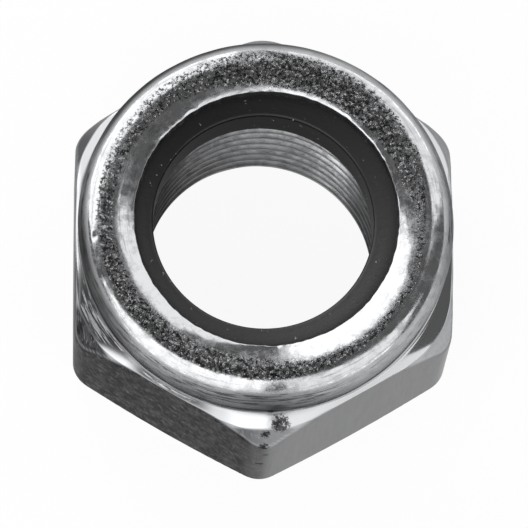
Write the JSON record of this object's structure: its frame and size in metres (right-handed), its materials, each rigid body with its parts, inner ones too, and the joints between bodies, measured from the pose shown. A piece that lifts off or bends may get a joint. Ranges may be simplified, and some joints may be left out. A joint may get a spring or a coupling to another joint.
{
  "type": "hexagon lock nut with nylon insert",
  "caption": "Hexagon lock nut: zinc-plated steel hexagon with a threaded through bore and a rolled round collar that holds a black nylon locking ring.",
  "frame": {"origin": "centre of the bearing face, at the bottom of the bore", "axes": "+Z along the bore from the bearing face towards the collar; +X square to one wrench flat; +Y through a corner"},
  "size_m": [0.03, 0.034, 0.0186],
  "materials": {
    "plated_steel": "bright zinc plating, glossy, with fine scratches and a grainy band on the rolled collar",
    "nylon": "smooth satin black"
  },
  "bodies": {
    "root": {"nut_body": "plated_steel", "locking_ring": "nylon"}
  },
  "joints": []
}
